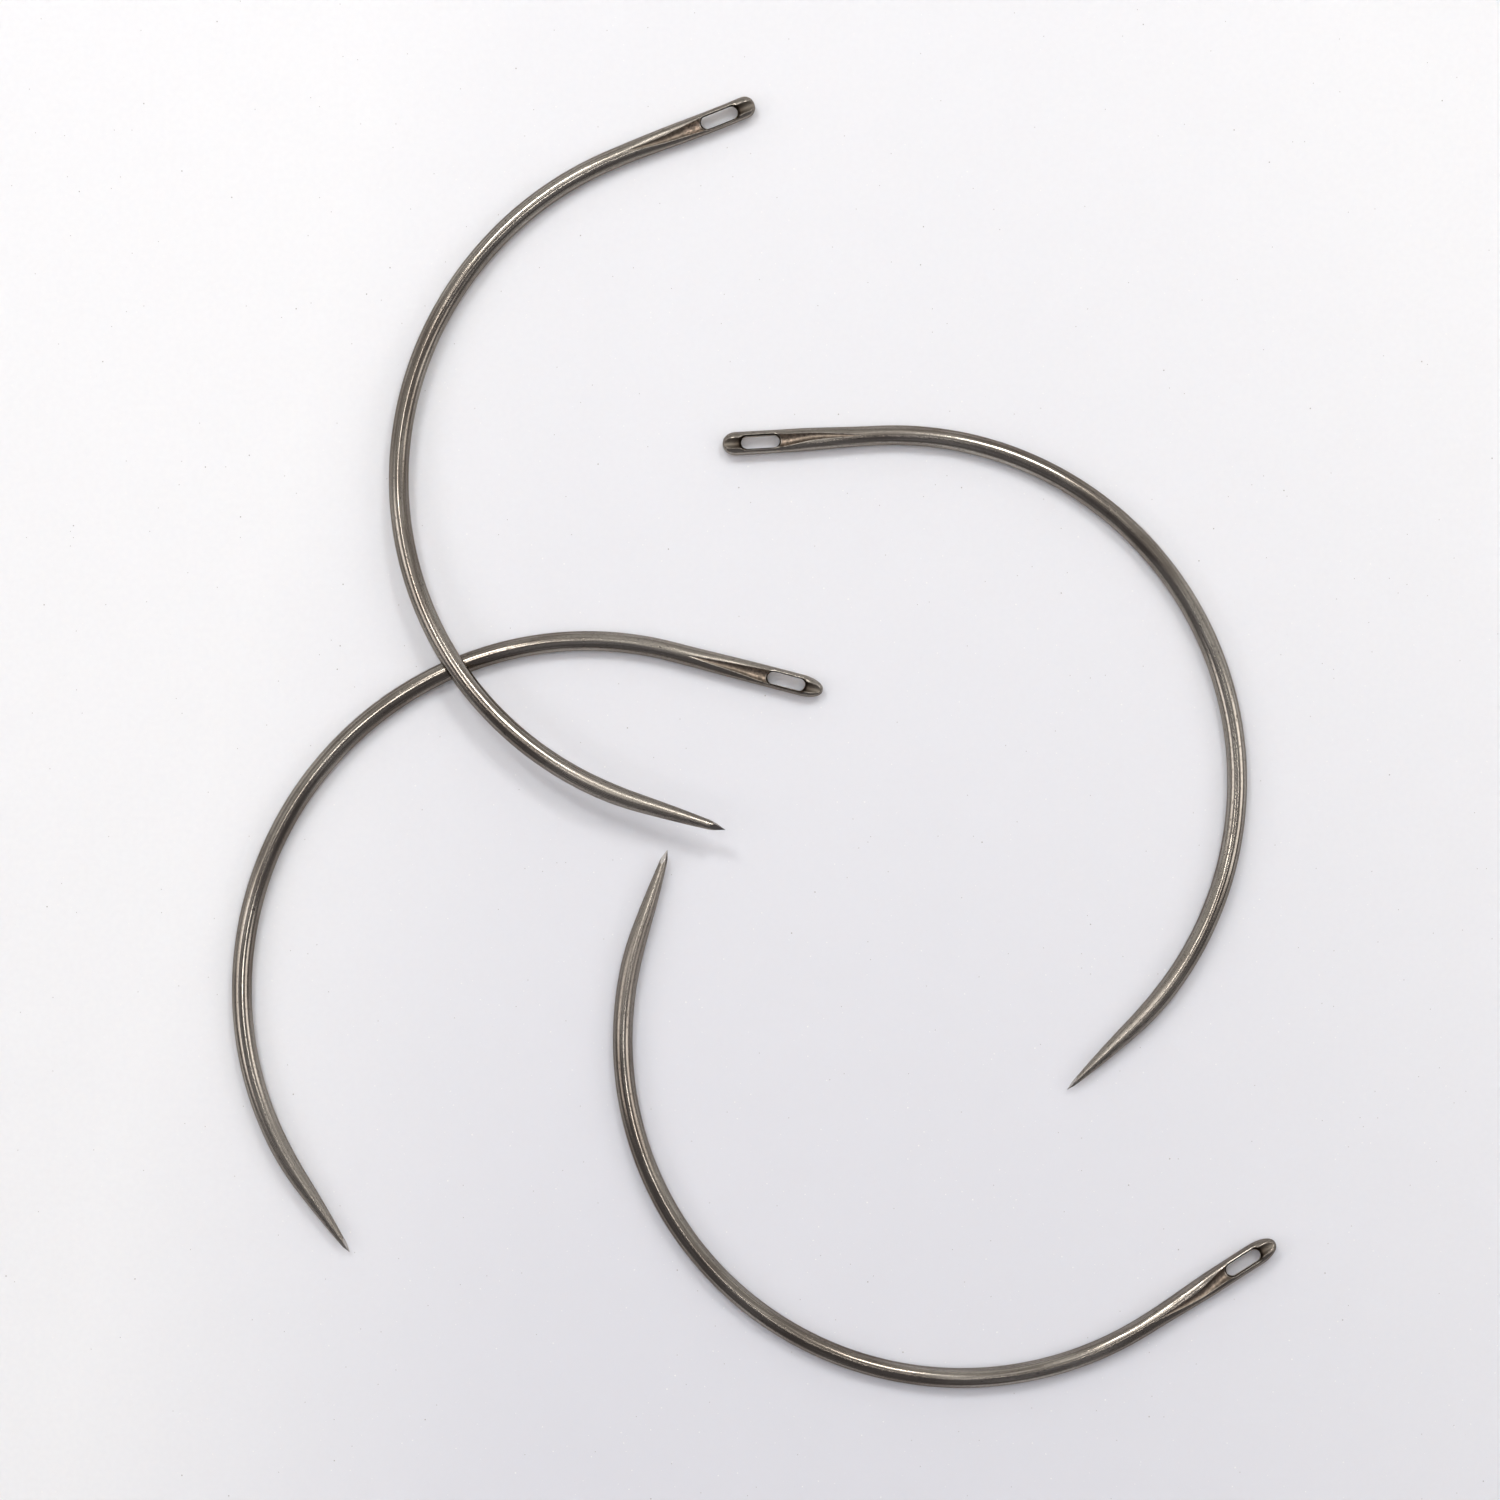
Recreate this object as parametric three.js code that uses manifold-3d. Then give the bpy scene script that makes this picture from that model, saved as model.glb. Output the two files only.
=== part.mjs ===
// A set of four curved upholstery needles, loose on a table, one of them resting across another.
// Units are millimetres. The table is the plane z = 0 and +Z points up from it.
// The origin is on the table, under the middle of the set.
//
// Each needle is one length of steel wire, ground to a point, pressed wide at the head, grooved and
// pierced there for thread, and bent round into a bow.

import * as THREE from 'three';
import { mergeVertices } from 'three/addons/utils/BufferGeometryUtils.js';
import Module from 'manifold-3d';

const wasm = await Module();
wasm.setup();

// The wire and its bow. The bend is measured to the middle of the wire.
const wireDiameter = 1.4;
const bendRadius = 24.25;
const bendAngle = THREE.MathUtils.degToRad(140);
const pointRun = 5.95;
const eyeRun = 11.0;

// The point: a long round taper, then short ground faces that meet at the tip.
const taperLength = 9.5;
const taperTipDiameter = 0.52;
const pointFaces = 4;
const pointFaceSlope = THREE.MathUtils.degToRad(15);

// The head, which is pressed wider than the wire and thinner.
const headWidth = 1.62;
const headThickness = 1.24;
const headLength = 4.8;
const flareLength = 5.7;

// The butt rounds off as a blunt nose. At 2 its curve is an ellipse, and higher numbers are squarer.
const buttLength = 0.85;
const buttSquareness = 2.2;

// The eye is a slot with round ends. A gutter in each face widens and sinks to it from the shank, and
// a narrower channel leads the thread from it out over the butt. The web is what the two gutters, or
// the two channels, leave between them.
const eyeLength = 2.74;
const eyeWidth = 0.93;
const eyeToButt = 1.31;
const gutterLength = 10.5;
const gutterRadius = 0.55;
const channelRadius = 0.38;
const webThickness = 0.56;

// How finely the round forms are stepped.
const wireSides = 16;
const pointSteps = 6;
const bendSteps = 40;
const headSteps = 12;
const buttSteps = 6;
const eyeArcSteps = 6;
const gutterSides = 20;

// How the set lies. A bow's centre is counted in bend radii from the middle of the layout, so that the
// bows keep clear of each other when the bend changes. Facing is the direction in degrees, seen from
// above, from the bow's centre to the middle of the bow.
const layout = {
  left_needle: { centre: [-0.488, -0.683], facing: 145.0, turnedOver: true },
  top_needle: { centre: [-0.024, 0.797], facing: 182.8, turnedOver: true },
  right_needle: { centre: [0.425, -0.084], facing: 23.1, turnedOver: false },
  bottom_needle: { centre: [0.623, -0.839], facing: 231.8, turnedOver: false },
};

// Clearance between the top needle and the left needle that it rests on.
const restGap = 0.3;

// Sizes that follow from the ones above.
const wireRadius = wireDiameter / 2;
const cornerRadius = wireRadius / Math.cos(Math.PI / wireSides);
const bendLength = bendRadius * bendAngle;
const needleLength = pointRun + bendLength + eyeRun;
const overcut = wireDiameter;
const up = new THREE.Vector3(0, 0, 1);

// The middle line of the wire in the bow's own plane. The bow's centre is the origin, the middle of the
// bow is on +X and the point end is on the -Y side. Returns the place at a distance from the tip, and
// the outward and forward directions there.
function alongNeedle(distance) {
  const turned = THREE.MathUtils.clamp((distance - pointRun) / bendRadius, 0, bendAngle);
  const angle = turned - bendAngle / 2;
  const outward = new THREE.Vector3(Math.cos(angle), Math.sin(angle), 0);
  const forward = new THREE.Vector3(-Math.sin(angle), Math.cos(angle), 0);
  const straight = distance - pointRun - turned * bendRadius;
  const place = outward.clone().multiplyScalar(bendRadius).addScaledVector(forward, straight);
  return { place, outward, forward };
}

// Radius of the round wire. It swells from the tip in a curve that meets the full wire smoothly.
function radiusAt(distance) {
  const shortfall = Math.max(0, 1 - distance / taperLength);
  return wireRadius - (wireRadius - taperTipDiameter / 2) * shortfall ** 2;
}

// How far the head has flared, from 0 on the plain wire to 1 on the full head.
function flareAt(distance) {
  const headStart = needleLength - headLength;
  return THREE.MathUtils.smoothstep(distance, headStart - flareLength, headStart);
}

// Radius and distance from the tip of each ring of corners, from the tip to the butt.
function wireProfile() {
  const bendEnd = pointRun + bendLength;
  const buttStart = needleLength - buttLength;
  const buttPower = 2 / buttSquareness;
  const profile = [[0, 0]];
  for (let i = 0; i < pointSteps; i += 1) {
    const distance = (i / pointSteps) * pointRun;
    profile.push([radiusAt(distance), distance]);
  }
  for (let i = 0; i < bendSteps; i += 1) {
    const distance = pointRun + (i / bendSteps) * bendLength;
    profile.push([radiusAt(distance), distance]);
  }
  for (let i = 0; i < headSteps; i += 1) {
    profile.push([wireRadius, THREE.MathUtils.lerp(bendEnd, buttStart, i / headSteps)]);
  }
  for (let i = 0; i < buttSteps; i += 1) {
    const angle = (i / buttSteps) * (Math.PI / 2);
    const distance = buttStart + buttLength * Math.sin(angle) ** buttPower;
    profile.push([wireRadius * Math.cos(angle) ** buttPower, distance]);
  }
  profile.push([0, needleLength]);
  return profile;
}

// The straight wire round the Y axis, with its tip at y = 0. One flat side faces up and one down, a
// wire's thickness apart.
function straightWire() {
  const points = wireProfile().map(
    ([radius, distance]) => new THREE.Vector2((radius * cornerRadius) / wireRadius, distance),
  );
  return new THREE.LatheGeometry(points, wireSides, Math.PI / wireSides);
}

// Presses the head of a straight wire, then bends the wire round the bow.
function pressAndBend(wire) {
  const corners = wire.attributes.position;
  for (let i = 0; i < corners.count; i += 1) {
    const flare = flareAt(corners.getY(i));
    const across = corners.getX(i) * THREE.MathUtils.lerp(1, headWidth / wireDiameter, flare);
    const height = corners.getZ(i) * THREE.MathUtils.lerp(1, headThickness / wireDiameter, flare);
    const { place, outward } = alongNeedle(corners.getY(i));
    place.addScaledVector(outward, across);
    corners.setXYZ(i, place.x, place.y, height);
  }
  return wire;
}

// Moves a cutter that was made round the Y axis onto the needle, its origin at a distance from the tip.
function ontoNeedle(cutter, distance) {
  const { place, outward, forward } = alongNeedle(distance);
  const move = new THREE.Matrix4().makeBasis(outward, forward, up).setPosition(place);
  return cutter.applyMatrix4(move);
}

// A closed geometry as a solid that can be cut.
function solidFrom(geometry) {
  geometry.deleteAttribute('normal');
  geometry.deleteAttribute('uv');
  const merged = mergeVertices(geometry);
  const vertProperties = Float32Array.from(merged.attributes.position.array);
  const triVerts = Uint32Array.from(merged.index.array);
  return new wasm.Manifold(new wasm.Mesh({ numProp: 3, vertProperties, triVerts }));
}

// A solid as a geometry that can be shown.
function geometryFrom(solid) {
  const mesh = solid.getMesh();
  const geometry = new THREE.BufferGeometry();
  geometry.setAttribute('position', new THREE.BufferAttribute(mesh.vertProperties, 3));
  geometry.setIndex(new THREE.BufferAttribute(mesh.triVerts, 1));
  geometry.computeVertexNormals();
  return geometry;
}

// What grinding takes off the tip: a block round it, less the pyramid that stays.
function groundAway() {
  const reach = wireRadius / Math.tan(pointFaceSlope);
  const pyramidLength = reach + overcut;
  const faceOffset = pyramidLength * Math.tan(pointFaceSlope);
  const cornerOffset = faceOffset / Math.cos(Math.PI / pointFaces);
  const pyramid = new THREE.ConeGeometry(cornerOffset, pyramidLength, pointFaces);
  pyramid.rotateX(Math.PI);
  pyramid.translate(0, pyramidLength / 2, 0);
  const block = new THREE.BoxGeometry(2 * overcut, reach + overcut, 2 * overcut);
  block.translate(0, (reach - overcut) / 2, 0);
  return solidFrom(ontoNeedle(block, 0)).subtract(solidFrom(ontoNeedle(pyramid, 0)));
}

// The eye's slot, straight through the head.
function eyeSlot() {
  const endRadius = eyeWidth / 2;
  const endOffset = eyeLength / 2 - endRadius;
  const outline = new THREE.Shape();
  outline.absarc(0, endOffset, endRadius, 0, Math.PI, false);
  outline.absarc(0, -endOffset, endRadius, Math.PI, 2 * Math.PI, false);
  const depth = headThickness + 2 * overcut;
  const settings = { depth, bevelEnabled: false, curveSegments: eyeArcSteps };
  const slot = new THREE.ExtrudeGeometry(outline, settings);
  slot.translate(0, 0, -depth / 2);
  return solidFrom(ontoNeedle(slot, needleLength - eyeToButt - eyeLength / 2));
}

// The rings of the round cutter for one face: the place of each past the butt, its radius and the
// height of its middle. The gutter widens and sinks from the wire's surface to the eye, then runs level
// past the eye's round end. The channel starts in the eye and runs level out over the butt.
function gutterRings() {
  const gutterMiddle = webThickness / 2 + gutterRadius;
  const channelMiddle = webThickness / 2 + channelRadius;
  return [
    [-gutterLength, 0, wireRadius],
    [-eyeToButt - eyeLength, gutterRadius, gutterMiddle],
    [-eyeToButt - eyeLength / 2, gutterRadius, gutterMiddle],
    [-eyeToButt - eyeLength / 2, channelRadius, channelMiddle],
    [overcut, channelRadius, channelMiddle],
    [overcut, 0, channelMiddle],
  ];
}

// The gutter and the channel of one face. Side is 1 on the upper face and -1 on the lower one.
function gutter(side) {
  const rings = gutterRings();
  const outline = rings.map(([pastButt, radius]) => new THREE.Vector2(radius, pastButt));
  const cutter = new THREE.LatheGeometry(outline, gutterSides);
  const corners = cutter.attributes.position;
  for (let i = 0; i < corners.count; i += 1) {
    const [, , middle] = rings[i % rings.length];
    corners.setZ(i, corners.getZ(i) + middle);
  }
  if (side < 0) {
    cutter.rotateY(Math.PI);
  }
  return solidFrom(ontoNeedle(cutter, needleLength));
}

// One whole needle, in the bow's own plane.
function needleGeometry() {
  const needle = solidFrom(pressAndBend(straightWire()))
    .subtract(groundAway())
    .subtract(gutter(1))
    .subtract(gutter(-1))
    .subtract(eyeSlot());
  return geometryFrom(needle);
}

// Steel with a warm grey drawn finish.
function steel() {
  return new THREE.MeshStandardMaterial({ color: 0x8a857c, roughness: 0.35, metalness: 1 });
}

// A needle lying on the table where the layout has it.
function layNeedle(name, geometry) {
  const { facing, turnedOver } = layout[name];
  const needle = new THREE.Mesh(geometry, steel());
  needle.name = name;
  needle.rotation.set(turnedOver ? Math.PI : 0, 0, THREE.MathUtils.degToRad(facing), 'ZYX');
  needle.position.copy(bowCentre(name)).setZ(wireRadius);
  return needle;
}

// Where the layout has a bow's centre, on the table.
function bowCentre(name) {
  const [x, y] = layout[name].centre;
  return new THREE.Vector3(x, y, 0).multiplyScalar(bendRadius);
}

// Where the bows of two needles cross, on the table: of the two places, the one to the left.
function crossingOf(upper, lower) {
  const a = bowCentre(upper);
  const b = bowCentre(lower);
  const middle = a.clone().lerp(b, 0.5);
  const sideways = b.clone().sub(a).normalize().cross(up);
  const offset = Math.sqrt(bendRadius ** 2 - middle.distanceToSquared(a));
  const sign = sideways.x < 0 ? 1 : -1;
  return middle.addScaledVector(sideways, sign * offset);
}

// Tips a needle up so that it rests across another one. Its straight eye run stays down on the table,
// and the rest turns up about that run until the bow clears the lower needle where they cross.
function leanNeedle(name, lower, geometry) {
  const needle = layNeedle(name, geometry);
  needle.updateMatrix();
  const { place, outward } = alongNeedle(needleLength);
  place.applyMatrix4(needle.matrix);
  outward.transformDirection(needle.matrix);
  const lever = place.clone().sub(crossingOf(name, lower)).dot(outward);
  const rise = wireDiameter + restGap;
  const lean = new THREE.Group();
  lean.position.copy(place).setZ(cornerRadius);
  lean.quaternion.setFromAxisAngle(up.clone().cross(outward), Math.asin(rise / lever));
  needle.position.sub(place);
  lean.add(needle);
  return lean;
}

// The whole set, with the middle of its outer box over the origin and its lowest face on the table.
function needleSet() {
  const geometry = needleGeometry();
  const set = new THREE.Group();
  set.add(layNeedle('left_needle', geometry));
  set.add(leanNeedle('top_needle', 'left_needle', geometry));
  set.add(layNeedle('right_needle', geometry));
  set.add(layNeedle('bottom_needle', geometry));
  const box = new THREE.Box3().setFromObject(set, true);
  const middle = box.getCenter(new THREE.Vector3());
  set.position.set(-middle.x, -middle.y, -box.min.z);
  return set;
}

export default needleSet();
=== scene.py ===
"""Four curved upholstery needles lying loose on pale paper, one resting across another.

Sizes are in millimetres until they become Blender's metres. Every needle is built straight, as the
wire is worked before it is bent, then bent round its bow and laid where the solid model has it.
"""

import math
from collections import namedtuple

import bpy
import numpy as np
from mathutils import Matrix, Vector


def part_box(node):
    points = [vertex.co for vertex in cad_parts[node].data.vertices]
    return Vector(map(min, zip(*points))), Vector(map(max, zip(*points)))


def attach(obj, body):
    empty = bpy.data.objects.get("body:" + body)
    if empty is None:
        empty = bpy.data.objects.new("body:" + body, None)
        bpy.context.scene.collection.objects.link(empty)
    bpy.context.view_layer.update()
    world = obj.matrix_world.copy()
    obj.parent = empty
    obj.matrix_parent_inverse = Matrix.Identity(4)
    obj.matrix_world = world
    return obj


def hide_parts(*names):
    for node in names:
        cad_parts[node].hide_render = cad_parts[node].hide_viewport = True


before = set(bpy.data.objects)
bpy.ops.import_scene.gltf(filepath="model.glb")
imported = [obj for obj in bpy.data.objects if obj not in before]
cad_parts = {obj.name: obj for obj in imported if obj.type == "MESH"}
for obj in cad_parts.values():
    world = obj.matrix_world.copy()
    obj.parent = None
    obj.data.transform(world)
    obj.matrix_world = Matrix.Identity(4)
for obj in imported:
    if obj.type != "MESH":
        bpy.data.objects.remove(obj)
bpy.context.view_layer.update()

MM = 0.001

# The wire and its bow. The bend is measured to the middle of the wire.
WIRE_RADIUS = 0.7
BEND_RADIUS = 24.25
BEND_ANGLE = math.radians(140)
POINT_RUN = 5.95
EYE_RUN = 11.0
NEEDLE_LENGTH = POINT_RUN + BEND_RADIUS * BEND_ANGLE + EYE_RUN

# The point: a long round taper, then four short ground faces. The faces on one side carry this much
# painted shade, and each shows fully once it is ground this deep.
TAPER_LENGTH = 9.5
POINT_FACE_LENGTH = 1.1
POINT_FACE_PAINTED_SHADE = 0.7
POINT_FACE_EDGE = 0.01

# The head, pressed wider, thinner and squarer than the round wire, with a blunt nose for a butt. A
# squareness of 2 is an ellipse, and higher numbers are squarer.
HEAD_HALF_THICKNESS = 0.62
HEAD_SQUARENESS = 2.7
HEAD_START = NEEDLE_LENGTH - 4.8
FLARE_START = HEAD_START - 5.7
BUTT_SQUARENESS = 2.2

# The eye, a slot with round ends. Its edge is rolled over, most of all where the thread leaves
# towards the butt.
EYE_START = NEEDLE_LENGTH - 4.05
EYE_END = NEEDLE_LENGTH - 1.31
EYE_HALF_WIDTH = 0.445
EYE_EDGE_WIDTH = 0.15
EYE_EDGE_DEPTH = 0.20
EYE_EXIT_WIDTH = 0.24

# The gutter in each face: it widens and sinks from the shank to the eye, and goes on, narrower,
# from the eye out over the butt.
GUTTER_START = NEEDLE_LENGTH - 10.5
GUTTER_HALF_WIDTH = 0.46
GUTTER_DEPTH = 0.34
GUTTER_WIDENING = 1.1
GUTTER_SINKING = 1.6
GUTTER_HOLLOW = 2.2
EXIT_HALF_WIDTH = 0.36
EXIT_DEPTH = 0.31
RIM_SOFTNESS = 0.03

# Where the rolled edge is polished and where its painted shade sets in, as shares of the way from
# the face down to the wall. The painted shade starts sooner where the thread leaves. It fades out
# part of the way down the wall.
EYE_POLISHED = (0.02, 0.3)
EYE_PAINTED_SHADE = (0.28, 0.52)
EYE_EXIT_PAINTED_SHADE = (0.1, 0.45)
EYE_WALL_PAINTED_SHADE = 0.5

# How deep the mill has cut where its brown starts to show and where it is full, and how deep the
# gutter is where its rim is fully worn.
MILLED_FROM = 0.004
MILLED_FULL = 0.03
RIM_FULL_DEPTH = 0.1

# Where the turned ends run out into the wire.
POINT_TURN_START = 2.0
POINT_TURN_END = 6.0
GUTTER_TURN_END = GUTTER_START + 4.0

# The wire is satin at both ends and polished between, from here to here.
POLISH_START = 16.0
POLISH_END = NEEDLE_LENGTH - 10.0
POLISH_FADE = 8.0

# What the straight needle's rows hold, column by column.
# DARK holds painted shade, round the eye and on one side of the point's ground faces.
ACROSS, ALONG, UP, MILLED, RIM, GROUND, POLISHED, DARK, ON_WALL = range(9)

# How finely the mesh is stepped, round a quarter of the section and along the wire.
OUTER_ROWS = 14
INNER_ROWS = 12
WALL_ROWS = 4
POINT_STEP_END = 1.2
POINT_STEP = 0.03
TAPER_STEP = 0.35
BOW_STEP = 0.7
HEAD_STEP = 0.12
EYE_APPROACH = 0.3
EYE_APPROACH_COUNT = 10
EYE_END_COUNT = 12
BUTT_COUNT = 24
BUTT_FIRST_STEP = 0.02
WELD_DECIMALS = 5

# The inner rows draw together ahead of the gutter and leave its rim and the eye this much room. They
# never share more of the half width than the limit.
GATHERING_RUN = 3.0
GATHERED_REACH = 0.1
RIM_ROOM = 0.05
EYE_ROOM = 0.12
EYE_LEAD_IN = 0.5
EYE_LEAD_OUT = 0.35
INNER_LIMIT = 0.92

SHARP_ANGLE = math.radians(50)

# How much of the glancing light the steel throws back, against clean metal.
EDGE_TINT = (0.45, 0.42, 0.40, 1)

# The finishes' colours.
DRAWN_DARK = (0.190, 0.164, 0.140, 1)
DRAWN_PALE = (0.385, 0.356, 0.316, 1)
SATIN = (0.300, 0.272, 0.240, 1)
DRAWN_LINE = (0.130, 0.110, 0.092, 1)
BRIGHT_LINE = (0.520, 0.485, 0.430, 1)
MILLED_DARK = (0.145, 0.116, 0.091, 1)
MILLED_PALE = (0.225, 0.183, 0.147, 1)
COPPERY = (0.480, 0.365, 0.285, 1)
# Partly the gutter rims' wear, partly a painted highlight on them.
WORN_RIM_AND_SHEEN = (0.620, 0.575, 0.505, 1)
CHANNEL_DARK = (0.088, 0.067, 0.050, 1)
CHANNEL_PALE = (0.215, 0.190, 0.160, 1)
GROUND_FACE = (0.640, 0.610, 0.590, 1)
EYE_RING = (0.600, 0.560, 0.500, 1)
# Painted shade round the eye and on one side of the point's ground faces.
EYE_AND_POINT_PAINTED_SHADE = (0.030, 0.022, 0.016, 1)
EYE_WALL = (0.820, 0.770, 0.700, 1)
PIT = (0.060, 0.050, 0.042, 1)
PAPER_PALE = (0.930, 0.937, 0.960, 1)
# The paper's painted shade, also the colour that its mottle turns towards.
PAPER_PAINTED_SHADE_AND_MOTTLE = (0.760, 0.768, 0.830, 1)
DUST = (0.420, 0.400, 0.390, 1)
FLECK = (0.985, 0.985, 0.985, 1)
ROOM_PALE = (0.67, 0.66, 0.65, 1)
ROOM_DARK = (0.23, 0.225, 0.24, 1)

# The coppery marks start this far from the butt and are full a little nearer to it.
COPPERY_START = 5.7
COPPERY_FADE = 0.8

# The heights of the fine relief are in microns. Each needle takes its noise from a place of its own,
# this far on from the last.
MICRON = 1.0e-6
NOISE_STEP = 7.3

# Where Blender's Mix node keeps the two colours that it is given and the one that it makes.
MIX_COLOURS = (6, 7)
MIX_RESULT = 2

# The studio is in metres.
PAPER_WIDTH = 3.0

# Name, compass bearing, degrees from straight up, distance, width, length, brightness, colour.
PANELS = [
    ("far_right_lamp", 27, 36, 0.42, 0.055, 0.080, 26.0, (1.0, 0.98, 0.95)),
    ("far_left_lamp", -29, 36, 0.36, 0.045, 0.070, 27.0, (1.0, 0.98, 0.95)),
    ("high_right_lamp", 118, 12, 0.40, 0.070, 0.022, 10.0, (1.0, 0.97, 0.94)),
    ("high_left_lamp", -56, 15, 0.40, 0.110, 0.030, 12.5, (1.0, 0.97, 0.94)),
    ("right_panel", 93, 52, 0.5, 0.22, 0.20, 2.0, (1.0, 0.95, 0.91)),
    ("left_panel", -96, 52, 0.45, 0.20, 0.20, 1.95, (1.0, 0.95, 0.92)),
]

# Which way each bow faces, in degrees from +X seen from above, and the body it belongs to.
NEEDLES = {
    "left_needle": (145.0, "left"),
    "top_needle": (182.8, "top"),
    "right_needle": (23.1, "right"),
    "bottom_needle": (231.8, "bottom"),
}

# The ends are finished by hand and differ a little. The point: the radius that the taper runs out
# to, how far the point is drawn out, which side of it has painted shade on its ground faces, 1 for
# the outside of the bow, and how many degrees it is turned. The head: how many degrees the gutter and
# the eye are turned, how far the eye strays sideways, half the width, the length of the butt's
# rounding, and how coppery the mill left the gutter.
Point = namedtuple("Point", "tip_radius reach dark_side turn")
Head = namedtuple("Head", "gutter_turn eye_turn stray half_width butt_length coppery")
Ends = namedtuple("Ends", "point head")
ENDS = {
    "left_needle": Ends(Point(0.12, 0.19, 1, 6.0), Head(0.0, 4.6, 0.05, 0.75, 1.7, 0.45)),
    "top_needle": Ends(Point(0.24, 0.45, 1, 32.0), Head(16.0, 11.0, -0.28, 0.77, 0.8, 1.0)),
    "right_needle": Ends(Point(0.09, 0.31, 1, -4.0), Head(15.0, 1.0, -0.06, 0.82, 1.0, 0.4)),
    "bottom_needle": Ends(Point(0.18, 0.03, -1, -20.0), Head(16.0, -6.0, -0.14, 0.83, 1.8, 0.15)),
}

# These lie with their other face up.
TURNED_OVER = {"left_needle", "top_needle"}

# The bows are bent by hand too. Each strays from its arc, outwards, in three waves: half a wave, one
# wave and one and a half along the needle.
BOW_WAVES = {
    "left_needle": (0.07, 0.19, 0.035),
    "top_needle": (0.175, 0.035, -0.05),
    "right_needle": (0.02, 0.125, 0.02),
    "bottom_needle": (0.05, -0.10, -0.04),
}

# The top needle leans on its straight eye run and on the left needle where the two bows cross.
LEANING = "top_needle"
LEANS_ON = "left_needle"
CONTACT_GAP = 0.02

# The camera looks straight down. It sees a field this wide from this high above the wire.
FIELD_WIDTH = 106.33
CAMERA_HEIGHT = 260.0
FIELD_CENTRE = (-0.349, -0.633)
SENSOR_WIDTH = 36.0


def clamp(value):
    return np.clip(value, 0.0, 1.0)


def between(share, low, high):
    return low + (high - low) * share


def smooth(value, low, high):
    """0 below low, 1 above high, and an even curve between."""
    share = clamp((value - low) / (high - low))
    return share * share * (3 - 2 * share)


def soft_lower(a, b, softness):
    """The lower of a and b, with their crossing rounded off."""
    share = clamp(0.5 + 0.5 * (b - a) / softness)
    return between(share, b, a) - softness * share * (1 - share)


def taper_radius(distance, ends):
    """The wire's radius at a distance from the tip, before its faces are ground."""
    shortfall = max(0.0, 1 - distance / TAPER_LENGTH)
    return between(shortfall**2, WIRE_RADIUS, ends.point.tip_radius)


def full_section(distance, ends):
    """Half the width, half the thickness and the squareness of the section at a distance from the tip,
    before the butt is rounded."""
    radius = taper_radius(distance, ends)
    flare = smooth(distance, FLARE_START, HEAD_START)
    return (
        radius * between(flare, 1, ends.head.half_width / WIRE_RADIUS),
        radius * between(flare, 1, HEAD_HALF_THICKNESS / WIRE_RADIUS),
        between(flare, 2, HEAD_SQUARENESS),
    )


def section_height(across, half_width, half_thickness, squareness):
    """How high the section stands at a place across it."""
    return half_thickness * (1 - clamp(across / half_width) ** squareness) ** (1 / squareness)


def butt_share(distance, ends):
    """How much of the full section is left where the butt rounds off."""
    into_butt = clamp(1 - (NEEDLE_LENGTH - distance) / ends.head.butt_length)
    return max(1e-7, (1 - into_butt**BUTT_SQUARENESS) ** (1 / BUTT_SQUARENESS))


def gutter(distance, half_thickness):
    """Half the gutter's width and the height of its floor."""
    share = clamp((distance - GUTTER_START) / (EYE_START - GUTTER_START))
    past_eye = smooth(distance, (EYE_START + EYE_END) / 2, EYE_END)
    half_width = between(past_eye, GUTTER_HALF_WIDTH * share**GUTTER_WIDENING, EXIT_HALF_WIDTH)
    depth = between(past_eye, GUTTER_DEPTH * share**GUTTER_SINKING, EXIT_DEPTH)
    return half_width, half_thickness - depth


def eye_half_width(distance):
    """Half the width of the eye, which is 0 at its two ends."""
    inset = min(distance - EYE_START, EYE_END - distance)
    short_of_full = np.clip(EYE_HALF_WIDTH - inset, 0.0, EYE_HALF_WIDTH)
    return math.sqrt(EYE_HALF_WIDTH**2 - short_of_full**2)


def rolled_edge(across, distance):
    """1 at the eye's wall, falling to 0 where its rolled edge meets the face. Then how polished that edge
    is and how much painted shade it carries."""
    nearest = np.clip(distance, EYE_START + EYE_HALF_WIDTH, EYE_END - EYE_HALF_WIDTH)
    from_wall = np.hypot(across, distance - nearest) - EYE_HALF_WIDTH
    exit_side = smooth(distance, EYE_END - EYE_HALF_WIDTH, EYE_END)
    rolled = clamp(1 - from_wall / between(exit_side, EYE_EDGE_WIDTH, EYE_EXIT_WIDTH))
    # The dark here is painted shade on the rolled edge; it starts sooner where the thread leaves.
    dark_from = between(exit_side, EYE_PAINTED_SHADE[0], EYE_EXIT_PAINTED_SHADE[0])
    dark_full = between(exit_side, EYE_PAINTED_SHADE[1], EYE_EXIT_PAINTED_SHADE[1])
    dark = smooth(rolled, dark_from, dark_full)
    polished = smooth(rolled, *EYE_POLISHED) * (1 - dark) * (1 - exit_side)
    return rolled, polished, dark


def inner_reach(distance, half_width, gutter_half_width):
    """Half the width that the inner rows share, so that they follow the gutter's rim and the eye."""
    even = half_width * math.sin(math.pi / 2 * INNER_ROWS / (OUTER_ROWS + INNER_ROWS))
    gathered = between(smooth(distance, GUTTER_START - GATHERING_RUN, GUTTER_START), even, GATHERED_REACH)
    at_eye = smooth(distance, EYE_START - EYE_LEAD_IN, EYE_START)
    at_eye = at_eye * (1 - smooth(distance, EYE_END, EYE_END + EYE_LEAD_OUT))
    rim = between(at_eye, gutter_half_width + RIM_ROOM, EYE_HALF_WIDTH + EYE_ROOM)
    return min(max(gathered, rim), INNER_LIMIT * half_width)


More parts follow.
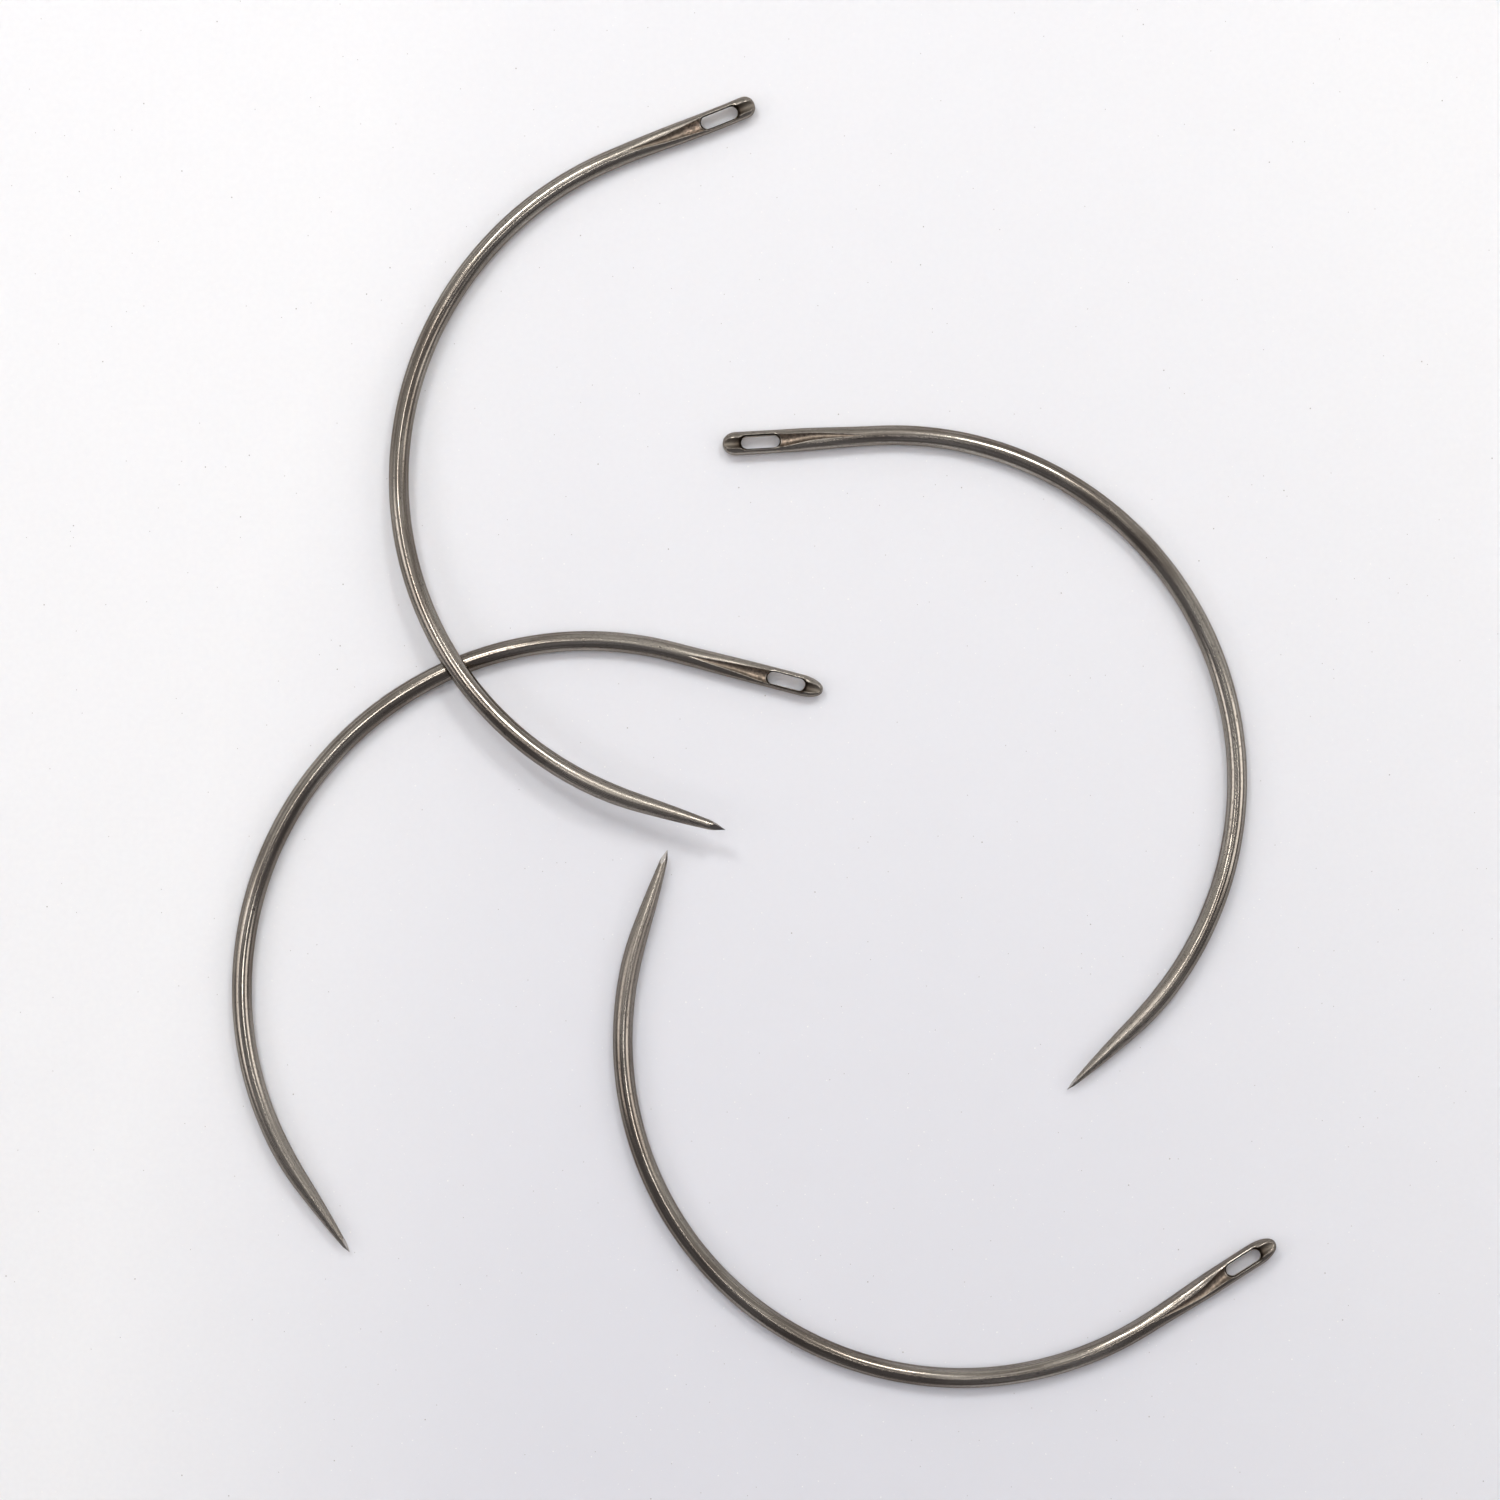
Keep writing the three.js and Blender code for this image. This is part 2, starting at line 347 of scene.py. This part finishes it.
def row_places(distance, half_width, gutter_half_width, inner):
    """Places across, from the wire's side to its middle line or the eye's wall."""
    reach = inner_reach(distance, half_width, gutter_half_width)
    angles = np.linspace(0, math.acos(reach / half_width), OUTER_ROWS + 1)
    steps = (1 + np.cos(np.pi * np.arange(1, INNER_ROWS + 1) / INNER_ROWS)) / 2
    return np.concatenate([half_width * np.cos(angles), between(steps, min(inner, reach), reach)])


def ground_faces(distance, across, height, ends):
    """Cuts a section back to the flat faces ground on the point, and says where they show."""
    radius = np.hypot(across, height)
    angle = np.arctan2(height, across)
    slope = taper_radius(POINT_FACE_LENGTH, ends) / POINT_FACE_LENGTH
    face = distance * slope / np.cos(angle - math.pi / 4)
    kept = np.minimum(radius, face)
    return kept * np.cos(angle), kept * np.sin(angle), smooth(radius - face, 0.0, POINT_FACE_EDGE)


def quarter_section(distance, in_eye, ends):
    """One quarter of the section, from the wire's side up and in. Each row holds its place across,
    along and up, then how far it is milled, on a rim and ground at the point, and at the eye how far
    it is polished, in painted shade and on the wall."""
    full_width, full_thickness, squareness = full_section(distance, ends)
    half_width = full_width * butt_share(distance, ends)
    half_thickness = full_thickness * butt_share(distance, ends)
    gutter_half_width, floor = gutter(distance, full_thickness)
    inner = eye_half_width(distance) if in_eye else 0.0
    across = row_places(distance, half_width, gutter_half_width, inner)
    plain = section_height(across, half_width, half_thickness, squareness)
    height = plain
    rim = np.zeros_like(across)
    if gutter_half_width > 0:
        depth = full_thickness - floor
        rim_height = section_height(gutter_half_width, full_width, full_thickness, squareness)
        hollow = floor + (rim_height - floor) * (across / gutter_half_width) ** GUTTER_HOLLOW
        height = soft_lower(plain, hollow, min(RIM_SOFTNESS, depth) + 1e-6)
        rim = np.exp(-(((across - gutter_half_width) / RIM_SOFTNESS) ** 2))
        rim = rim * clamp(depth / RIM_FULL_DEPTH)
    milled = smooth(plain - height, MILLED_FROM, MILLED_FULL)
    rolled, polished, dark = rolled_edge(across, distance)
    height = height - EYE_EDGE_DEPTH * (1 - np.sqrt(1 - rolled**2))
    across, height, ground = ground_faces(distance, across, height, ends)
    height[0] = 0.0
    along = np.full_like(across, distance)
    on_wall = np.zeros_like(across)
    rows = np.column_stack([across, along, height, milled, rim, ground, polished, dark, on_wall])
    if in_eye:
        down = np.arange(1, WALL_ROWS + 1) / WALL_ROWS
        wall = np.repeat(rows[-1:], WALL_ROWS, axis=0)
        wall[:, UP] = rows[-1, UP] * (1 - down)
        # Painted shade on the top of the eye's wall, fading out downwards.
        wall[:, DARK] = 1 - smooth(down, 0.0, EYE_WALL_PAINTED_SHADE)
        wall[:, ON_WALL] = 1
        rows = np.vstack([rows, wall])
    return rows


def steps_between(start, end, step):
    """Even places from start to end, about a step apart."""
    return np.linspace(start, end, max(2, round((end - start) / step) + 1))


def round_end(start, end, count):
    """Places from start to end that crowd towards start."""
    return start + (end - start) * (1 - np.cos(np.linspace(0, math.pi / 2, count)))


def stations(ends):
    """Distances from the tip of every section, in runs: before the eye, along it and after it."""
    bend_end = NEEDLE_LENGTH - EYE_RUN
    before = [
        steps_between(0.0, POINT_STEP_END, POINT_STEP),
        steps_between(POINT_STEP_END, POINT_RUN, TAPER_STEP),
        steps_between(POINT_RUN, bend_end, BOW_STEP),
        steps_between(bend_end, EYE_START - EYE_APPROACH, HEAD_STEP),
        EYE_START - round_end(0.0, EYE_APPROACH, EYE_APPROACH_COUNT)[::-1],
    ]
    eye_end = round_end(EYE_START, EYE_START + EYE_HALF_WIDTH, EYE_END_COUNT)
    along = [
        eye_end,
        steps_between(EYE_START + EYE_HALF_WIDTH, EYE_END - EYE_HALF_WIDTH, HEAD_STEP),
        (EYE_START + EYE_END) - eye_end[::-1],
    ]
    past_eye = round_end(EYE_END, EYE_END + EYE_APPROACH, EYE_END_COUNT)
    butt_angles = np.linspace(0, math.pi / 2, BUTT_COUNT)
    butt = NEEDLE_LENGTH - ends.head.butt_length * (1 - np.sin(butt_angles) ** (2 / BUTT_SQUARENESS))
    after = [past_eye, butt[butt > past_eye[-1] + BUTT_FIRST_STEP]]
    return [(in_turn(before), False), (in_turn(along), True), (in_turn(after), False)]


def in_turn(parts):
    """Joins lists of places that go on from each other, with each shared place once."""
    places = np.concatenate(parts)
    return places[np.append(np.diff(places) > 1e-4, True)]


def straight_needle(ends):
    """The straight needle: its points, with the finish at each, and its faces."""
    points = []
    faces = []
    count = 0
    for distances, in_eye in stations(ends):
        grid = np.array([quarter_section(d, in_eye, ends) for d in distances])
        rows = grid.shape[1]
        corner = np.arange(grid.shape[0] * rows).reshape(grid.shape[0], rows)
        for side, face in ((1, 1), (-1, 1), (-1, -1), (1, -1)):
            mirrored = grid.copy()
            mirrored[:, :, ACROSS] *= side
            mirrored[:, :, UP] *= face
            # The ground faces on one side of the point get painted shade.
            if side == ends.point.dark_side:
                mirrored[:, :, DARK] += POINT_FACE_PAINTED_SHADE * mirrored[:, :, GROUND]
            points.append(mirrored.reshape(-1, grid.shape[2]))
            around = [corner[:-1, :-1], corner[1:, :-1], corner[1:, 1:], corner[:-1, 1:]]
            quads = np.stack([c.ravel() for c in around], axis=1) + count
            faces.append(quads if side * face > 0 else quads[:, ::-1])
            count += corner.size
    return weld(np.vstack(points), np.vstack(faces))


def weld(points, faces):
    """Joins points that share a place, and drops what that leaves of faces without area."""
    places = np.round(points[:, : UP + 1], WELD_DECIMALS) + 0.0
    _, first, joined = np.unique(places, axis=0, return_index=True, return_inverse=True)
    joined = joined.ravel()
    outlines = []
    for face in joined[faces]:
        outline = list(dict.fromkeys(face.tolist()))
        if len(outline) > 2:
            outlines.append(outline)
    return points[first], outlines


def finish_ends(points, ends):
    """Turns the point, the gutter and the eye about the wire's middle line, and lets the eye stray."""
    point, head = ends
    across, distance, height = points[:, ACROSS], points[:, ALONG], points[:, UP]
    at_point = 1 - smooth(distance, POINT_TURN_START, POINT_TURN_END)
    at_gutter = smooth(distance, GUTTER_START, GUTTER_TURN_END)
    at_eye = smooth(distance, GUTTER_TURN_END, EYE_START)
    turned = between(at_eye, head.gutter_turn * at_gutter + point.turn * at_point, head.eye_turn)
    angle = np.radians(turned)
    turned_across = across * np.cos(angle) + height * np.sin(angle)
    turned_height = height * np.cos(angle) - across * np.sin(angle)
    turned_across = turned_across + head.stray * smooth(distance, GUTTER_START, EYE_END)
    return np.column_stack([turned_across, distance, turned_height])


def draw_out(points, reach):
    """Draws the point out beyond the tip, and the taper after it."""
    moved = points.copy()
    moved[:, ALONG] -= reach * clamp(1 - points[:, ALONG] / TAPER_LENGTH) ** 2
    return moved


def stray_from_arc(points, waves):
    """Moves the wire outwards or inwards along its length, as its hand-bent bow strays."""
    moved = points.copy()
    for halves, wave in enumerate(waves, start=1):
        moved[:, ACROSS] += wave * np.cos(halves * math.pi * points[:, ALONG] / NEEDLE_LENGTH)
    return moved


def bend(points):
    """Takes the straight needle's points round the bow, in the bow's own plane."""
    across, distance, height = points[:, ACROSS], points[:, ALONG], points[:, UP]
    turned = np.clip((distance - POINT_RUN) / BEND_RADIUS, 0, BEND_ANGLE)
    angle = turned - BEND_ANGLE / 2
    onward = distance - POINT_RUN - turned * BEND_RADIUS
    radius = BEND_RADIUS + across
    x = radius * np.cos(angle) - onward * np.sin(angle)
    y = radius * np.sin(angle) + onward * np.cos(angle)
    return np.column_stack([x, y, height])


def lie_flat(points, name):
    """Bends a needle's points and lays them flat about the bow's centre, facing the needle's way."""
    facing, _ = NEEDLES[name]
    turn_over = Matrix.Rotation(math.pi if name in TURNED_OVER else 0.0, 3, "X")
    turn = np.array(Matrix.Rotation(math.radians(facing), 3, "Z") @ turn_over)
    return bend(points) @ turn.T + (0, 0, WIRE_RADIUS)


def needle_mesh(name, order):
    """A needle as a mesh, lying flat, and the centre of its bow where its node is."""
    ends = ENDS[name]
    points, outlines = straight_needle(ends)
    finished = finish_ends(points, ends)
    centre = to_node(name, lie_flat(finished, name))
    mesh = bpy.data.meshes.new(name + "_steel")
    drawn_out = draw_out(finished, ends.point.reach)
    places = lie_flat(stray_from_arc(drawn_out, BOW_WAVES[name]), name)
    mesh.from_pydata(places.tolist(), [], outlines)
    spread(mesh, "straight", "FLOAT_VECTOR", points[:, ACROSS : UP + 1])
    spread(mesh, "worked", "FLOAT_VECTOR", points[:, MILLED : GROUND + 1])
    # The eye's polish, painted shade and wall; the point's painted shade rides in the same place.
    spread(mesh, "eye", "FLOAT_VECTOR", points[:, POLISHED : ON_WALL + 1])
    spread(mesh, "needle_number", "FLOAT", np.full(len(points), order))
    spread(mesh, "coppery", "FLOAT", np.full(len(points), ends.head.coppery))
    mesh.shade_smooth()
    mesh.set_sharp_from_angle(angle=SHARP_ANGLE)
    return mesh, centre


def spread(mesh, name, kind, values):
    """Keeps a value at every point of a mesh, for its material."""
    attribute = mesh.attributes.new(name, kind, "POINT")
    key = "vector" if kind == "FLOAT_VECTOR" else "value"
    attribute.data.foreach_set(key, np.ascontiguousarray(values, np.float32).ravel())


def box_middle(low, high):
    return (Vector(low) + Vector(high)) / 2


def to_node(name, places):
    """The level move, in millimetres, that takes places to their node in the solid model."""
    low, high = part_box(name)
    move = box_middle(low, high) / MM - box_middle(places.min(axis=0), places.max(axis=0))
    return Vector((move.x, move.y, 0.0))


def bow_crossing(upper, lower):
    """Where two bows cross on the table, given their centres: of the two places, the one to the left."""
    middle = (upper + lower) / 2
    sideways = (lower - upper).normalized().cross(Vector((0, 0, 1)))
    offset = math.sqrt(BEND_RADIUS**2 - (middle - upper).length_squared)
    return middle + sideways * (offset if sideways.x < 0 else -offset)


def lean(mesh, centre, crossing):
    """Tips the leaning needle up about its straight eye run, until it clears the one it crosses."""
    end = lie_flat(np.array([[0.0, NEEDLE_LENGTH, 0.0], [1.0, NEEDLE_LENGTH, 0.0]]), LEANING)
    place = Vector(end[0])
    outward = Vector(end[1] - end[0])
    lever = (place + centre - crossing).dot(outward)
    angle = math.asin((2 * WIRE_RADIUS + CONTACT_GAP) / lever)
    pivot = Matrix.Translation(place)
    axis = Vector((0, 0, 1)).cross(outward)
    mesh.transform(pivot @ Matrix.Rotation(angle, 4, axis) @ pivot.inverted())


def lay_needles(steel):
    """The four needles, each where its node is, riding on its body."""
    laid = {name: needle_mesh(name, order) for order, name in enumerate(NEEDLES)}
    mesh, centre = laid[LEANING]
    _, lower_centre = laid[LEANS_ON]
    lean(mesh, centre, bow_crossing(centre, lower_centre))
    for name, (mesh, centre) in laid.items():
        _, body = NEEDLES[name]
        mesh.transform(Matrix.Scale(MM, 4) @ Matrix.Translation(centre))
        mesh.materials.append(steel)
        needle = bpy.data.objects.new("drawn_" + name, mesh)
        bpy.context.scene.collection.objects.link(needle)
        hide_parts(name)
        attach(needle, body)


class Field:
    """A number or colour that varies over a surface. Python's operators on it add Math nodes."""

    def __init__(self, nodes, socket):
        self.nodes = nodes
        self.socket = socket

    def math(self, operation, *values):
        return self.nodes.add("ShaderNodeMath", {"operation": operation}, dict(enumerate(values)))

    def __add__(self, other):
        return self.math("ADD", self, other)

    def __radd__(self, other):
        return self.math("ADD", other, self)

    def __sub__(self, other):
        return self.math("SUBTRACT", self, other)

    def __rsub__(self, other):
        return self.math("SUBTRACT", other, self)

    def __mul__(self, other):
        return self.math("MULTIPLY", self, other)

    def __rmul__(self, other):
        return self.math("MULTIPLY", other, self)

    def __pow__(self, other):
        return self.math("POWER", self, other)

    def smooth(self, low, high):
        """0 below low, 1 above high, and an even curve between."""
        settings = {"interpolation_type": "SMOOTHSTEP"}
        sockets = {"Value": self, "From Min": low, "From Max": high}
        return self.nodes.add("ShaderNodeMapRange", settings, sockets)


class Nodes:
    """The nodes of one material or of the world."""

    def __init__(self, owner):
        owner.use_nodes = True
        self.tree = owner.node_tree
        self.tree.nodes.clear()

    def add(self, kind, settings=None, sockets=None, output=0):
        """Adds a node: its settings first, then what its sockets hold or link to."""
        node = self.tree.nodes.new(kind)
        for name, value in (settings or {}).items():
            setattr(node, name, value)
        for name, value in (sockets or {}).items():
            if isinstance(value, Field):
                self.tree.links.new(value.socket, node.inputs[name])
            else:
                node.inputs[name].default_value = value
        return Field(self, node.outputs[output]) if node.outputs else None

    def attribute(self, name, output="Vector"):
        return self.add("ShaderNodeAttribute", {"attribute_name": name}, None, output)

    def parts(self, vector):
        """The three numbers of a vector."""
        return [self.add("ShaderNodeSeparateXYZ", None, {0: vector}, i) for i in range(3)]

    def scaled(self, vector, x, y, z):
        return self.add("ShaderNodeVectorMath", {"operation": "MULTIPLY"}, {0: vector, 1: (x, y, z)})

    def noise(self, vector, scale, detail, number=0.0):
        """Cloudy noise from 0 to 1. Another number gives other clouds."""
        sockets = {"Vector": vector, "W": number, "Scale": scale, "Detail": detail}
        return self.add("ShaderNodeTexNoise", {"noise_dimensions": "4D"}, sockets, "Fac")

    def blend(self, share, colour, other):
        """Turns from one colour to the other as share goes from 0 to 1."""
        first, second = MIX_COLOURS
        sockets = {0: share, first: colour, second: other}
        return self.add("ShaderNodeMix", {"data_type": "RGBA"}, sockets, MIX_RESULT)


def steel_finish():
    """Drawn and polished steel, milled brown in the gutters, ground at the point, with painted shade
    round the eye and on one side of the point, and a little painted highlight on the gutters' rims.
    """
    steel = bpy.data.materials.new("needle_steel")
    nodes = Nodes(steel)
    straight = nodes.attribute("straight")
    _, distance, _ = nodes.parts(straight)
    number = nodes.attribute("needle_number", "Fac") * NOISE_STEP
    milled, rim, ground = nodes.parts(nodes.attribute("worked"))
    # The dark share is painted shade, round the eye and on one side of the point's ground faces.
    polished, dark, on_wall = nodes.parts(nodes.attribute("eye"))
    before_eye = 1 - distance.smooth(EYE_START, EYE_END)
    past_eye = distance.smooth(EYE_END, EYE_END + 0.1)

    satin = 1 - distance.smooth(POLISH_START - POLISH_FADE, POLISH_START)
    satin = satin + distance.smooth(POLISH_END - POLISH_FADE, POLISH_END) * 0.4

    clouds = nodes.noise(nodes.scaled(straight, 0.9, 0.12, 0.9), 1.0, 2.0, number)
    broad_lines = nodes.noise(nodes.scaled(straight, 2.6, 0.025, 2.6), 1.0, 1.0, number)
    lines = nodes.noise(nodes.scaled(straight, 8.0, 0.07, 8.0), 1.0, 1.0, number)
    fine_lines = nodes.noise(nodes.scaled(straight, 22.0, 0.35, 22.0), 1.0, 1.0, number)
    mill_marks = nodes.noise(nodes.scaled(straight, 6.0, 4.5, 6.0), 1.0, 3.0, number)
    chatter = nodes.noise(nodes.scaled(straight, 3.0, 5.5, 3.0), 1.0, 2.0, number + 31.0)
    speckle = nodes.noise(nodes.scaled(straight, 10.0, 9.0, 10.0), 1.0, 2.0, number + 11.0)
    pits = nodes.noise(nodes.scaled(straight, 12.0, 5.0, 12.0), 1.0, 0.0, number).smooth(0.68, 0.76)

    drawn = nodes.blend(clouds.smooth(0.35, 0.65), DRAWN_DARK, DRAWN_PALE)
    drawn = nodes.blend(lines.smooth(0.45, 0.62) * 0.55, drawn, DRAWN_LINE)
    drawn = nodes.blend(fine_lines.smooth(0.55, 0.72) * 0.4, drawn, BRIGHT_LINE)
    drawn = nodes.blend(satin * 0.85, drawn, SATIN)
    drawn = nodes.blend(speckle.smooth(0.45, 0.65) * 0.24, drawn, DRAWN_LINE)
    coppery_from = NEEDLE_LENGTH - COPPERY_START
    coppery = distance.smooth(coppery_from, coppery_from + COPPERY_FADE)
    coppery = coppery * before_eye * nodes.attribute("coppery", "Fac")
    cut = nodes.blend(mill_marks.smooth(0.35, 0.65), MILLED_DARK, MILLED_PALE)
    cut = nodes.blend(coppery * mill_marks.smooth(0.42, 0.62) * 0.8, cut, COPPERY)
    channel = nodes.blend(distance.smooth(EYE_END, NEEDLE_LENGTH - 0.4), CHANNEL_DARK, CHANNEL_PALE)
    cut = nodes.blend(past_eye, cut, channel)
    colour = nodes.blend(milled, drawn, cut)
    # Partly wear on the gutter's rims, partly a painted highlight there, broken up by chatter.
    colour = nodes.blend(rim * chatter.smooth(0.35, 0.6) * (1 - past_eye) * 0.15, colour, WORN_RIM_AND_SHEEN)
    colour = nodes.blend(ground * 0.8, colour, GROUND_FACE)
    colour = nodes.blend(polished * 0.8, colour, EYE_RING)
    colour = nodes.blend(on_wall, colour, EYE_WALL)
    # Painted shade round the eye and on one side of the point's ground faces.
    colour = nodes.blend(dark, colour, EYE_AND_POINT_PAINTED_SHADE)
    colour = nodes.blend(pits * 0.6, colour, PIT)

    roughness = 0.12 + fine_lines.smooth(0.3, 0.7) * 0.09 + milled * (past_eye * 0.2 + 0.22)
    roughness = roughness + rim * 0.15 + satin * 0.12 + ground * 0.05 + on_wall * 0.2
    height = broad_lines * (12.0 - satin * 10.0) + lines * (3.5 - satin * 2.5) + fine_lines
    height = height * (1 - milled) + mill_marks * milled * 2.0 + chatter * rim * 2.5 - pits * 2.0
    height = height + speckle * satin
    bump = nodes.add("ShaderNodeBump", None, {"Strength": 1.0, "Distance": MICRON, "Height": height})
    surface = nodes.add(
        "ShaderNodeBsdfPrincipled",
        None,
        {
            "Base Color": colour,
            "Metallic": 1.0,
            "Roughness": roughness,
            "Specular Tint": EDGE_TINT,
            "Normal": bump,
        },
    )
    nodes.add("ShaderNodeOutputMaterial", None, {"Surface": surface})
    return steel


def paper_finish():
    """Plain pale paper with a little dust, and painted shade that is darkest below the middle of the
    field.
    The painted shade lies in metres from that middle and fades out further from it."""
    paper = bpy.data.materials.new("pale_paper")
    nodes = Nodes(paper)
    place = nodes.add("ShaderNodeTexCoord", None, None, "Object")
    right, up, _ = nodes.parts(place)
    grain = nodes.noise(place, 900.0, 3.0)
    mottle = nodes.noise(place, 2600.0, 3.0, 2.0)
    flecks = nodes.noise(place, 5200.0, 0.0, 9.0).smooth(0.78, 0.82)
    dust = nodes.noise(place, 4800.0, 0.0, 5.0).smooth(0.82, 0.86)
    # Painted shade: the light's falloff over the paper, painted into its colour.
    painted_shade = right.smooth(-0.068, -0.01) * 1.19 - right.smooth(0.007, 0.12) * 0.96
    painted_shade = painted_shade + (0.0 - up).smooth(-0.075, 0.075) * 0.76 - 1.0
    from_middle = (right * right + up * up) ** 0.5
    colour = nodes.blend(painted_shade * (1 - from_middle.smooth(0.08, 0.3)), PAPER_PALE, PAPER_PAINTED_SHADE_AND_MOTTLE)
    colour = nodes.blend(mottle.smooth(0.3, 0.7) * 0.10, colour, PAPER_PAINTED_SHADE_AND_MOTTLE)
    colour = nodes.blend(flecks * 0.8, colour, FLECK)
    colour = nodes.blend(dust * 0.8, colour, DUST)
    bump = nodes.add("ShaderNodeBump", None, {"Strength": 0.3, "Distance": 20 * MICRON, "Height": grain})
    surface = nodes.add(
        "ShaderNodeBsdfPrincipled",
        {"subsurface_method": "BURLEY"},
        {
            "Base Color": colour,
            "Roughness": 0.9,
            "Specular IOR Level": 0.1,
            "Subsurface Weight": 0.7,
            "Subsurface Radius": (1.0, 0.8, 0.65),
            "Subsurface Scale": 1.0 * MM,
            "Normal": bump,
        },
    )
    nodes.add("ShaderNodeOutputMaterial", None, {"Surface": surface})
    return paper


def lay_paper():
    half = PAPER_WIDTH / 2
    corners = [(-half, -half, 0), (half, -half, 0), (half, half, 0), (-half, half, 0)]
    mesh = bpy.data.meshes.new("paper")
    mesh.from_pydata(corners, [], [(0, 1, 2, 3)])
    mesh.materials.append(paper_finish())
    paper = bpy.data.objects.new("paper", mesh)
    bpy.context.scene.collection.objects.link(paper)


def hang_panel(name, compass, from_zenith, distance, width, length, brightness, colour):
    """A soft light panel that faces the needles, compass degrees clockwise from +Y seen from above.
    Brightness is what a mirror shows of it."""
    light = bpy.data.lights.new(name, "AREA")
    light.shape = "RECTANGLE"
    light.size = width
    light.size_y = length
    light.energy = brightness * math.pi * width * length
    light.color = colour
    panel = bpy.data.objects.new(name, light)
    around = math.radians(compass)
    tilt = math.radians(from_zenith)
    sideways = math.sin(tilt)
    towards = Vector((math.sin(around) * sideways, math.cos(around) * sideways, math.cos(tilt)))
    panel.location = towards * distance
    panel.rotation_euler = towards.to_track_quat("Z", "Y").to_euler()
    bpy.context.scene.collection.objects.link(panel)


def light_studio():
    """Four small lamps, two soft panels, and dim surroundings that are darkest on the viewer's side."""
    for panel in PANELS:
        hang_panel(*panel)
    world = bpy.data.worlds.new("studio")
    bpy.context.scene.world = world
    nodes = Nodes(world)
    direction = nodes.add("ShaderNodeTexCoord", None, None, "Generated")
    _, away, up = nodes.parts(direction)
    dark_side = (0.3 - away).smooth(0.0, 0.5) * up.smooth(-0.1, 0.3)
    colour = nodes.blend(dark_side, ROOM_PALE, ROOM_DARK)
    background = nodes.add("ShaderNodeBackground", None, {"Color": colour, "Strength": 1.0})
    nodes.add("ShaderNodeOutputWorld", None, {"Surface": background})


def set_camera():
    """Looks straight down on the middle of the field."""
    lens = bpy.data.cameras.new("camera")
    lens.sensor_width = SENSOR_WIDTH
    lens.lens = SENSOR_WIDTH * CAMERA_HEIGHT / FIELD_WIDTH
    lens.clip_start = 0.01
    camera = bpy.data.objects.new("camera", lens)
    camera.location = Vector((*FIELD_CENTRE, WIRE_RADIUS + CAMERA_HEIGHT)) * MM
    bpy.context.scene.collection.objects.link(camera)
    bpy.context.scene.camera = camera


set_camera()
light_studio()
lay_paper()
lay_needles(steel_finish())
bpy.context.scene.view_settings.view_transform = "Standard"
bpy.context.view_layer.update()
